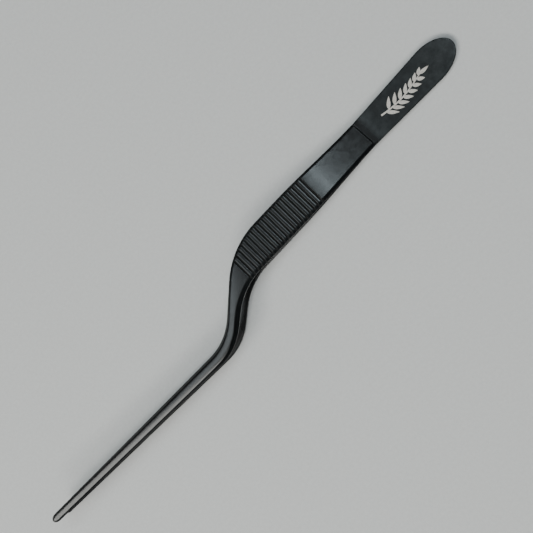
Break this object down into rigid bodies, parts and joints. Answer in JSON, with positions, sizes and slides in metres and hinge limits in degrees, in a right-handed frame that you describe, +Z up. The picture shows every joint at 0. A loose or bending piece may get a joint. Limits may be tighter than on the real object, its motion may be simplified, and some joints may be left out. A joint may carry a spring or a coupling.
{
  "type": "offset tweezers",
  "caption": "Long sprung tweezers with two black steel blades welded at a flat rounded head, a ridged grip, an offset bend and slim rounded tips.",
  "frame": {"origin": "centre of the bounding box's underside: the part lies on its lower blade on z = 0, resting on the head end's lower corner and on the lower arm's bow", "axes": "+X from the head towards the tips, +Y the side to which the tips are offset, +Z up; the mid-plane between the blades is tilted up towards +X by the lie of the part"},
  "size_m": [0.2, 0.0234, 0.0188],
  "materials": {
    "black_coating": "satin black coating on fine-blasted spring steel, slightly worn on the ridges and at the tips",
    "weld_steel": "bare fused steel, hidden between the blades"
  },
  "bodies": {
    "head": {"upper_head_tab": "black_coating", "lower_head_tab": "black_coating", "spot_welds": "weld_steel"},
    "upper_arm": {"upper_arm": "black_coating"},
    "lower_arm": {"lower_arm": "black_coating"}
  },
  "joints": [
    {"name": "upper_arm_flex", "type": "hinge", "parent": "head", "child": "upper_arm", "pos_m": [-0.06105, -0.00598, 0.00358], "axis": [0, 1, 0], "range_deg": [0, 1.71], "stiffness_Nm_per_rad": 8},
    {"name": "lower_arm_flex", "type": "hinge", "parent": "head", "child": "lower_arm", "pos_m": [-0.06103, -0.00598, 0.00328], "axis": [0, -1, 0], "range_deg": [0, 1.71], "stiffness_Nm_per_rad": 8}
  ]
}
